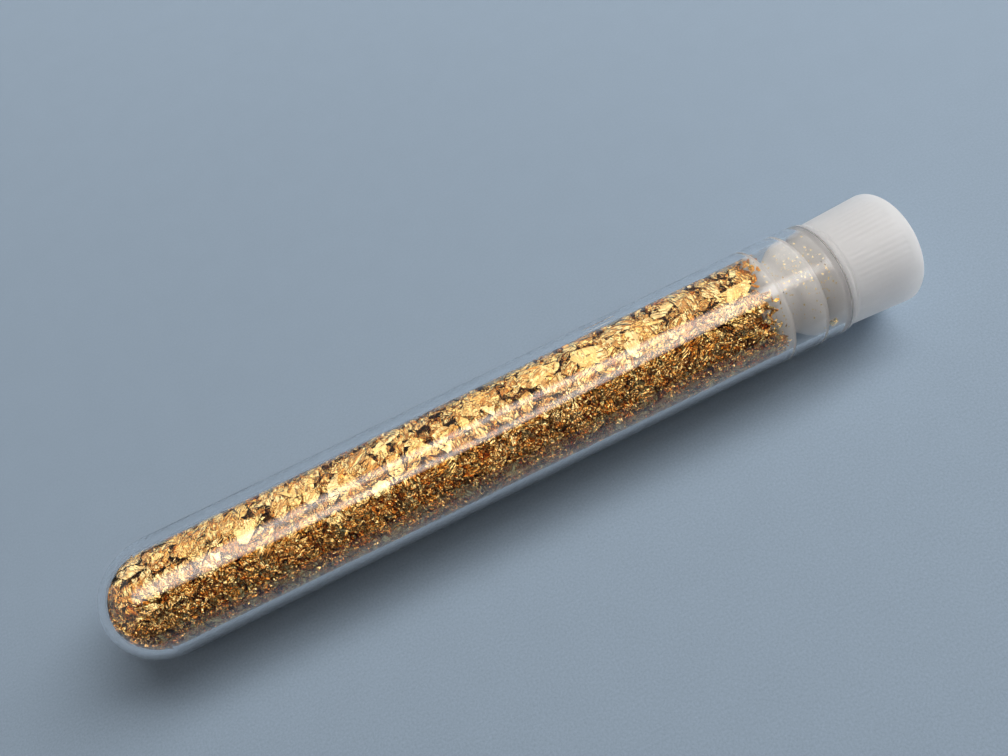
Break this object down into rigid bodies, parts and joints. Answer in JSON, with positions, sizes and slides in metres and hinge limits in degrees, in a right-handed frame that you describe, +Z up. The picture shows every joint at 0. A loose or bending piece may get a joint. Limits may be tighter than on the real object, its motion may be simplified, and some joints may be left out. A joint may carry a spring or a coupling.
{
  "type": "vial of gold flakes",
  "caption": "Clear round-bottomed plastic tube lying on its side, packed with crumpled gold leaf flakes and closed by a ribbed push-in stopper.",
  "frame": {"origin": "on the surface the vial lies on, under the middle of its length", "axes": "+X along the tube from its round bottom to its stopper, +Z up, +Y across"},
  "size_m": [0.0826, 0.0116, 0.0117],
  "materials": {
    "clear_plastic": "clear moulded polystyrene, polished",
    "milky_plastic": "natural polyethylene, milky and see-through where thin",
    "gold_flakes": "packed crumpled leaf, bright with dark gaps",
    "gold_leaf": "finely wrinkled leaf, satin"
  },
  "bodies": {
    "root": {"tube": "clear_plastic", "stopper": "milky_plastic", "gold_bed": "gold_flakes", "leaf_01": "gold_leaf", "leaf_02": "gold_leaf", "leaf_03": "gold_leaf", "leaf_04": "gold_leaf", "leaf_05": "gold_leaf", "leaf_06": "gold_leaf", "leaf_07": "gold_leaf", "leaf_08": "gold_leaf", "leaf_09": "gold_leaf", "leaf_10": "gold_leaf", "leaf_11": "gold_leaf", "leaf_12": "gold_leaf", "leaf_13": "gold_leaf", "leaf_14": "gold_leaf", "leaf_15": "gold_leaf", "leaf_16": "gold_leaf", "stray_flake": "gold_leaf"}
  },
  "joints": []
}
